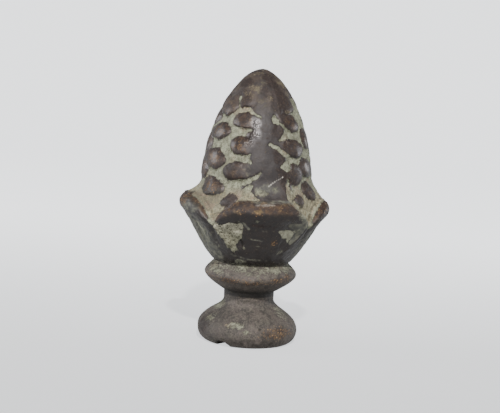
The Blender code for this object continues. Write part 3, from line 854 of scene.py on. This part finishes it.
def weather(mesh, masks):
    """Unevenness of the casting, roughness of the deposit and its pores, along the normals."""
    count = len(mesh.vertices)
    points = np.zeros(count * 3)
    normals = np.zeros(count * 3)
    mesh.vertices.foreach_get("co", points)
    mesh.vertices.foreach_get("normal", normals)
    points = points.reshape(-1, 3)
    normals = normals.reshape(-1, 3)
    wave = grain(points, 8.0 * MM, 2)
    lumps = grain(points, 2.0 * MM, 3, 5.0)
    crumbs = grain(points, 0.9 * MM, 2, 9.0)
    deposit = np.maximum(masks["groove"], masks["hollow"])
    push = WAVE_PUSH * wave + LUMP_PUSH * lumps
    push += deposit * (0.12 * lumps + 0.10 * crumbs)
    push += masks["hollow"] * (0.25 * smooth(lumps + 0.4) - 0.34 * smooth((crumbs - 0.15) / 0.3))
    for name, height in LUMP_PUSHES.items():
        push += masks[name] * height * lumps
    off_floor = smooth(points[:, 2] / (0.8 * MM))
    outermost = smooth((np.hypot(points[:, 0], points[:, 1]) - LEAF_REACH + 0.8 * MM) / (0.6 * MM))
    push = np.where(push > 0.0, push * (1.0 - outermost), push)
    points = points + normals * (push * MM * off_floor)[:, None]
    mesh.vertices.foreach_set("co", points.ravel())
    mesh.update()


def add_object(name, data):
    thing = bpy.data.objects.new(name, data)
    bpy.context.scene.collection.objects.link(thing)
    return thing


def casting():
    """The whole finial as one fine mesh, with its masks as attributes."""
    angle = np.arange(COLUMNS)[None, :] * (360.0 / COLUMNS) - 180.0
    radius, height = all_rows()
    carved, level, masks = carve(angle, radius, height)
    azimuth = np.radians(angle)
    x = carved * np.sin(azimuth)
    y = -carved * np.cos(azimuth)
    level, masks["chip"] = chip(x, y, level + np.zeros_like(x))
    mesh = grid_mesh("finial_casting", x, y, level, (0.0, 0.0, TIP), (0.0, 0.0, 0.0))
    full = {}
    for name, values in masks.items():
        values = np.broadcast_to(values, x.shape).ravel()
        full[name] = np.concatenate([values, values[[0, -1]]])
    weather(mesh, full)
    for name, values in full.items():
        layer = mesh.attributes.new(name, "FLOAT", "POINT")
        layer.data.foreach_set("value", values.astype(np.float32))
    return add_object("finial_casting", mesh)


def colour(red, green, blue):
    """A shader colour from 0 to 255 screen values."""
    def linear(value):
        value = value / 255.0
        return value / 12.92 if value <= 0.04045 else ((value + 0.055) / 1.055) ** 2.4
    return (linear(red), linear(green), linear(blue), 1.0)


class Shader:
    """A short way to write a material's nodes and links."""

    def __init__(self, name):
        self.material = bpy.data.materials.new(name)
        self.material.use_nodes = True
        self.tree = self.material.node_tree
        self.surface = self.tree.nodes["Principled BSDF"]

    def put(self, socket, value):
        if isinstance(value, bpy.types.NodeSocket):
            self.tree.links.new(value, socket)
        else:
            socket.default_value = value

    def add(self, kind):
        return self.tree.nodes.new("ShaderNode" + kind)

    def fill(self, node, inputs):
        for name, value in inputs.items():
            self.put(node.inputs[name], value)

    def mask(self, name):
        node = self.add("Attribute")
        node.attribute_name = name
        return node.outputs["Fac"]

    def place(self):
        return self.add("TexCoord").outputs["Object"]

    def noise(self, size, detail, roughness=0.55):
        """Noise with lumps of the given size in metres."""
        node = self.add("TexNoise")
        inputs = {"Vector": self.place(), "Scale": 1.0 / size, "Detail": detail, "Roughness": roughness}
        self.fill(node, inputs)
        return node.outputs["Fac"]

    def math(self, operation, *values):
        node = self.add("Math")
        node.operation = operation
        self.fill(node, dict(enumerate(values)))
        return node.outputs["Value"]

    def times(self, first, second):
        return self.math("MULTIPLY", first, second)

    def plus(self, first, second):
        return self.math("ADD", first, second)

    def larger(self, first, second):
        return self.math("MAXIMUM", first, second)

    def rest(self, value):
        """What is left of 1."""
        return self.math("SUBTRACT", 1.0, value)

    def swing(self, value, reach):
        """Stretches a value from 0 to 1 so that it goes as far below 0 as above it."""
        return self.math("MULTIPLY_ADD", value, 2.0 * reach, -reach)

    def ramp(self, value, low, high, to_low=0.0, to_high=1.0):
        """Eases from to_low to to_high while value goes from low to high."""
        node = self.add("MapRange")
        node.interpolation_type = "SMOOTHSTEP"
        ends = {"From Min": low, "From Max": high, "To Min": to_low, "To Max": to_high}
        self.fill(node, {"Value": value, **ends})
        return node.outputs["Result"]

    def blend(self, share, first, second):
        """Colour between first and second, each a socket or screen values."""
        first, second = (colour(*end) if isinstance(end, tuple) else end for end in (first, second))
        node = self.add("Mix")
        node.data_type = "RGBA"
        self.fill(node, {0: share, 6: first, 7: second})
        return node.outputs[2]

    def between(self, share, first, second):
        """Number between first and second."""
        node = self.add("Mix")
        node.data_type = "FLOAT"
        self.fill(node, {0: share, 2: first, 3: second})
        return node.outputs[0]

    def bump(self, height, distance, inputs=()):
        node = self.add("Bump")
        self.fill(node, {"Height": height, "Distance": distance, **dict(inputs)})
        return node.outputs["Normal"]


def aged_brass():
    s = Shader("aged_brass")
    broad = s.noise(9.0 * MM, 3.0)
    coarse = s.noise(4.0 * MM, 4.0, 0.6)
    medium = s.noise(1.7 * MM, 4.0, 0.6)
    fine = s.noise(0.6 * MM, 3.0, 0.65)
    grit = s.noise(0.25 * MM, 2.0, 0.6)

    # Dark patina, browner in places and greyer where it is rubbed, with painted shade on the cup, the neck
    # and some dark patches, and a painted sheen in some of the grey-green patches
    patina = s.blend(s.ramp(coarse, 0.35, 0.65), (38, 32, 31), (52, 46, 44))
    patina = s.blend(s.ramp(medium, 0.44, 0.62, 0.0, 0.6), patina, (60, 47, 39))
    patina = s.blend(s.ramp(fine, 0.38, 0.52, 0.4, 0.0), patina, (28, 24, 23))
    rubbed = s.blend(s.ramp(broad, 0.40, 0.60), (34, 31, 32), (43, 40, 40))
    rubbed = s.blend(s.ramp(medium, 0.50, 0.72, 0.0, 0.35), rubbed, (50, 43, 40))
    rubbed = s.blend(s.ramp(fine, 0.40, 0.60, 0.3, 0.0), rubbed, (36, 33, 33))
    rubbed = s.blend(s.times(s.mask("tip"), 0.6), rubbed, (36, 31, 30))
    patina = s.blend(s.times(s.mask("worn"), 0.9), patina, rubbed)
    # The cup is darker: partly dark patina, partly painted shade under the lips
    patina = s.blend(s.times(s.mask("cup"), 0.75), patina, (24, 22, 22))
    dusty = s.blend(s.ramp(coarse, 0.38, 0.62), (44, 41, 39), (62, 56, 53))
    dusty = s.blend(s.ramp(medium, 0.46, 0.62, 0.0, 0.45), dusty, (80, 76, 69))
    dusty = s.blend(s.ramp(fine, 0.48, 0.62, 0.0, 0.35), dusty, (88, 82, 75))
    dusty = s.blend(s.ramp(grit, 0.50, 0.66, 0.0, 0.25), dusty, (92, 88, 80))
    dusty = s.blend(s.ramp(fine, 0.36, 0.48, 0.35, 0.0), dusty, (40, 37, 35))
    patina = s.blend(s.times(s.mask("stem"), 0.95), patina, dusty)

    mottled = s.times(s.mask("tip"), s.ramp(coarse, 0.42, 0.58))
    patina = s.blend(s.times(mottled, 0.6), patina, (54, 45, 39))
    olive = s.times(s.mask("tip"), s.ramp(medium, 0.52, 0.66))
    patina = s.blend(s.times(olive, 0.45), patina, (78, 74, 58))
    # Painted shadow of the ring across the neck, and painted shade on the left of the foot
    patina = s.blend(s.mask("neck"), patina, (24, 23, 22))
    # Darker patches: stains, and painted shade under the neck and on the left of the foot
    stain_and_painted_shade = s.ramp(s.plus(s.mask("dark"), s.swing(medium, 0.4)), 0.3, 0.6)
    patina = s.blend(stain_and_painted_shade, patina, (34, 31, 28))

    uneven = s.swing(medium, 0.8)
    browned = s.ramp(s.plus(s.mask("brown"), uneven), 0.2, 0.8, 0.0, 0.9)
    brown_tint = s.blend(s.ramp(fine, 0.4, 0.6), (25, 19, 18), (36, 27, 24))
    patina = s.blend(browned, patina, brown_tint)
    uneven_fine = s.swing(fine, 1.0)
    olive = s.ramp(s.plus(s.mask("olive"), s.plus(uneven, uneven_fine)), 0.4, 1.2, 0.0, 0.7)
    olive_tint = s.blend(s.ramp(fine, 0.4, 0.6), (62, 55, 44), (84, 76, 60))
    patina = s.blend(olive, patina, olive_tint)
    # Grey-green thin deposit, and in places a painted sheen on faces that catch the light
    film_and_sheen = s.ramp(s.plus(s.mask("film_and_sheen"), s.times(uneven, 0.8)), 0.2, 0.9, 0.0, 0.85)
    film_and_sheen_tint = s.blend(s.ramp(medium, 0.42, 0.58), (66, 66, 62), (86, 86, 76))
    patina = s.blend(film_and_sheen, patina, film_and_sheen_tint)
    dirty = s.times(s.ramp(s.mask("groove"), 0.02, 0.30), 0.4)
    patina = s.blend(dirty, patina, (33, 30, 26))

    # Bare bronze on the crowns of the scales and along the lips
    bronze = s.blend(s.ramp(medium, 0.42, 0.60), (46, 35, 30), (72, 57, 42))
    bronze = s.blend(s.ramp(fine, 0.58, 0.70), bronze, (120, 97, 66))
    flecked = s.plus(s.times(medium, 0.6), s.times(fine, 0.4))
    crown = s.times(s.mask("bright"), s.ramp(flecked, 0.44, 0.56))
    rim = s.times(s.mask("lip"), s.ramp(coarse, 0.42, 0.58, 0.10, 0.75))
    spots = s.swing(fine, 1.3)
    spots = s.plus(spots, s.swing(grit, 1.2))
    rust = s.ramp(s.plus(s.mask("rust"), spots), 0.45, 1.10, 0.0, 0.8)
    rust = s.times(rust, s.ramp(s.mask("rust"), 0.0, 0.25, 0.25, 1.0))
    bare = s.larger(s.larger(crown, rim), rust)
    metal = s.blend(bare, patina, bronze)
    metal = s.blend(s.times(olive, s.mask("lip")), metal, (90, 76, 52))
    flecks = s.times(rust, s.ramp(fine, 0.54, 0.66, 0.0, 0.8))
    metal = s.blend(flecks, metal, (124, 96, 64))
    # Light score marks, and painted highlights along the lip's top edge and the ring's nose
    scratch_and_highlight_share = s.times(s.mask("scratch_and_highlight"), s.ramp(fine, 0.40, 0.56, 0.2, 1.0))
    metal = s.blend(scratch_and_highlight_share, metal, (210, 205, 195))

    # Pale deposit in the grooves and hollows, tan on the slopes behind the lips, with painted light under
    # the lips
    ragged = s.swing(medium, 0.45)
    ragged = s.plus(ragged, s.swing(fine, 0.55))
    places = s.larger(s.mask("groove"), s.mask("seam"))
    in_grooves = s.ramp(s.plus(places, ragged), 0.32, 0.74)
    in_hollows = s.ramp(s.plus(s.mask("hollow"), ragged), 0.55, 0.80)
    # Pale strokes: pale deposit, and painted light on the right hollow
    pale_deposit_and_light = s.ramp(s.plus(s.mask("pale"), s.times(ragged, 0.6)), 0.25, 0.80, 0.0, 0.9)
    filled = s.larger(s.larger(in_grooves, in_hollows), pale_deposit_and_light)
    filled = s.times(filled, s.rest(s.mask("line")))
    dust_edge = s.swing(medium, 0.5)
    dust_edge = s.plus(dust_edge, s.swing(fine, 1.1))
    dust = s.ramp(s.plus(s.mask("dust"), dust_edge), 0.25, 1.0, 0.0, 0.62)
    filled = s.larger(filled, dust)
    specks = s.times(s.ramp(fine, 0.32, 0.44, 0.75, 0.0), s.ramp(medium, 0.42, 0.56, 1.0, 0.3))
    pits = s.times(s.ramp(fine, 0.38, 0.50, 0.9, 0.0), s.mask("hollow"))
    specks = s.larger(specks, pits)
    pale = s.blend(s.ramp(medium, 0.35, 0.7), (70, 72, 59), (114, 117, 99))
    tan = s.blend(s.ramp(medium, 0.35, 0.65), (75, 71, 55), (117, 113, 92))
    tan = s.blend(s.ramp(coarse, 0.50, 0.62, 0.0, 0.7), tan, (100, 82, 70))
    tan = s.blend(s.ramp(medium, 0.54, 0.64, 0.0, 0.6), tan, (112, 114, 98))
    tan = s.blend(s.ramp(fine, 0.56, 0.70, 0.0, 0.5), tan, (138, 118, 82))
    deposit = s.blend(s.larger(s.mask("slope"), s.ramp(broad, 0.54, 0.66, 0.0, 0.8)), pale, tan)
    deposit = s.blend(s.ramp(fine, 0.42, 0.58, 0.45, 0.0), deposit, (70, 66, 54))
    deposit = s.blend(s.ramp(grit, 0.52, 0.66, 0.0, 0.35), deposit, (150, 148, 132))
    deposit = s.blend(s.times(s.mask("hollow"), 0.6), deposit, (78, 76, 63))
    # Painted light on the deposit high in the hollows and on the pale strokes
    deposit = s.blend(s.times(s.mask("painted_light_under_lip"), 0.45), deposit, (152, 150, 132))
    # The same darker patches on the deposit: stains, and painted shade in the corner under the neck
    soil_and_painted_shade = s.times(s.mask("dark"), s.ramp(medium, 0.40, 0.60, 0.2, 0.85))
    deposit = s.blend(soil_and_painted_shade, deposit, (66, 61, 50))
    deposit = s.blend(specks, deposit, (48, 44, 35))
    skin = s.blend(filled, metal, deposit)

    metallic = s.times(s.rest(filled), s.between(bare, 0.30, 0.6))
    rough = s.between(s.mask("worn"), 0.37, 0.60)
    rough = s.between(s.mask("tip"), rough, 0.66)
    rough = s.between(s.mask("lip"), rough, 0.78)
    rough = s.between(s.mask("film_and_sheen"), rough, 0.80)
    rough = s.between(s.times(s.mask("slope"), 0.8), rough, 0.62)
    rough = s.between(s.times(browned, 0.8), rough, 0.66)
    rough = s.between(s.mask("gloss"), rough, 0.16)
    rough = s.between(s.mask("stem"), rough, 0.74)
    rough = s.plus(rough, s.swing(medium, 0.15))
    rough = s.between(filled, rough, 0.92)
    relief = s.plus(medium, s.times(fine, 0.5))
    normal = s.bump(s.times(relief, s.between(filled, 0.25, 1.0)), 0.35 * MM)
    normal = s.bump(s.times(grit, s.between(s.mask("gloss"), 1.0, 2.5)), 0.03 * MM, {"Normal": normal})
    s.fill(s.surface, {"Base Color": skin, "Metallic": metallic, "Roughness": rough, "Normal": normal})
    s.fill(s.surface, {"Specular IOR Level": 0.32})
    return s.material


# Floor and wall in one sweep
FLOOR_HALF_WIDTH = 2.0
FLOOR_FRONT = -2.0
FLOOR_NEAR = -0.15
FLOOR_FAR = 0.35
FLOOR_BACK = 0.9
SWEEP_RADIUS = 0.6
SWEEP_STEPS = 16
WALL_HEIGHT = 2.4


def plain(name, tint, roughness, near_glow, far_glow):
    """A plain material that glows a little to the camera, more towards its far end."""
    s = Shader(name)
    seen = s.add("LightPath").outputs["Is Camera Ray"]
    apart = s.add("SeparateXYZ")
    s.put(apart.inputs["Vector"], s.place())
    glow = s.ramp(apart.outputs["Y"], FLOOR_NEAR, FLOOR_FAR, near_glow, far_glow)
    s.fill(s.surface, {
        "Base Color": s.blend(seen, tint, (112, 113, 115)),
        "Roughness": roughness,
        "Emission Color": colour(*tint),
        "Emission Strength": s.times(seen, glow),
    })
    return s.material


# Camera, fitted to the photograph's view of the finial
VIEW_AZIMUTH = -9.0
VIEW_ELEVATION = 6.5
VIEW_ROLL = 3.5
VIEW_DISTANCE = 0.390
VIEW_HEIGHT = 0.0497
VIEW_SIDE_AIM = 0.0016
LENS = 76.0


def direction(azimuth, elevation):
    """From the finial towards the camera or a light."""
    a, e = math.radians(azimuth), math.radians(elevation)
    return Vector((math.sin(a) * math.cos(e), -math.cos(a) * math.cos(e), math.sin(e)))


def camera():
    back = direction(VIEW_AZIMUTH, VIEW_ELEVATION)
    azimuth, roll = math.radians(VIEW_AZIMUTH), math.radians(VIEW_ROLL)
    right = Vector((math.cos(azimuth), math.sin(azimuth), 0.0))
    aim = Vector((0.0, 0.0, VIEW_HEIGHT)) - right * VIEW_SIDE_AIM
    data = bpy.data.cameras.new("camera")
    data.lens = LENS
    data.sensor_width = 36.0
    data.clip_start = 0.01
    view = add_object("camera", data)
    view.location = aim + back * VIEW_DISTANCE
    level = (-back).to_track_quat("-Z", "Y").to_matrix()
    view.rotation_euler = (level @ Matrix.Rotation(roll, 3, "Z")).to_euler()
    bpy.context.scene.camera = view


def backdrop():
    line = [(FLOOR_FRONT, 0.0), (FLOOR_BACK, 0.0)]
    for step in range(1, SWEEP_STEPS + 1):
        turn = math.radians(90.0 * step / SWEEP_STEPS)
        line.append((FLOOR_BACK + SWEEP_RADIUS * math.sin(turn), SWEEP_RADIUS * (1.0 - math.cos(turn))))
    line.append((FLOOR_BACK + SWEEP_RADIUS, WALL_HEIGHT))
    points = [(side * FLOOR_HALF_WIDTH, y, z) for y, z in line for side in (-1, 1)]
    faces = [(2 * i, 2 * i + 1, 2 * i + 3, 2 * i + 2) for i in range(len(line) - 1)]
    mesh = bpy.data.meshes.new("backdrop")
    mesh.from_pydata(points, [], faces)
    mesh.shade_smooth()
    mesh.materials.append(plain("backdrop", (176, 178, 180), 0.9, 1.9, 4.4))
    sweep = add_object("backdrop", mesh)
    sweep.rotation_euler = (0.0, 0.0, math.radians(VIEW_AZIMUTH))


# Lights: degrees round from the camera and up, distance and size in metres, watts and colour
LIGHTS = {
    "key": (5.0, 42.5, 1.1, 0.05, 28.5, (1.0, 0.98, 0.95)),
    "left side": (-94.0, 12.0, 1.2, 0.9, 20.0, (0.95, 0.97, 1.0)),
    "right side": (112.0, 2.0, 1.2, 0.7, 13.0, (0.95, 0.97, 1.0)),
    "window": (-22.0, 11.0, 1.4, 0.04, 12.0, (1.0, 0.95, 0.92)),
}
LIGHT_AIM = (0.0, 0.0, 0.05)
WORLD_TINT = (0.95, 0.97, 1.0, 1.0)
WORLD_STRENGTH = 0.27
WORLD_SEEN_STRENGTH = 2.75


def area_light(name, turn, elevation, distance, size, power, tint):
    back = direction(VIEW_AZIMUTH + turn, elevation)
    data = bpy.data.lights.new(name, "AREA")
    data.shape = "DISK"
    data.size = size
    data.energy = power
    data.color = tint
    light = add_object(name, data)
    light.location = Vector(LIGHT_AIM) + back * distance
    light.rotation_euler = (-back).to_track_quat("-Z", "Y").to_euler()


def lights():
    world = bpy.data.worlds.new("soft_daylight")
    world.use_nodes = True
    tree = world.node_tree
    tree.nodes["Background"].inputs["Color"].default_value = WORLD_TINT
    seen = tree.nodes.new("ShaderNodeLightPath").outputs["Is Camera Ray"]
    strength = tree.nodes.new("ShaderNodeMapRange")
    tree.links.new(seen, strength.inputs["Value"])
    strength.inputs["To Min"].default_value = WORLD_STRENGTH
    strength.inputs["To Max"].default_value = WORLD_SEEN_STRENGTH
    tree.links.new(strength.outputs["Result"], tree.nodes["Background"].inputs["Strength"])
    bpy.context.scene.world = world
    for name, settings in LIGHTS.items():
        area_light(name, *settings)


def main():
    piece = casting()
    piece.data.materials.append(aged_brass())
    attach(piece, "root")
    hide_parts("finial")
    backdrop()
    lights()
    camera()


main()
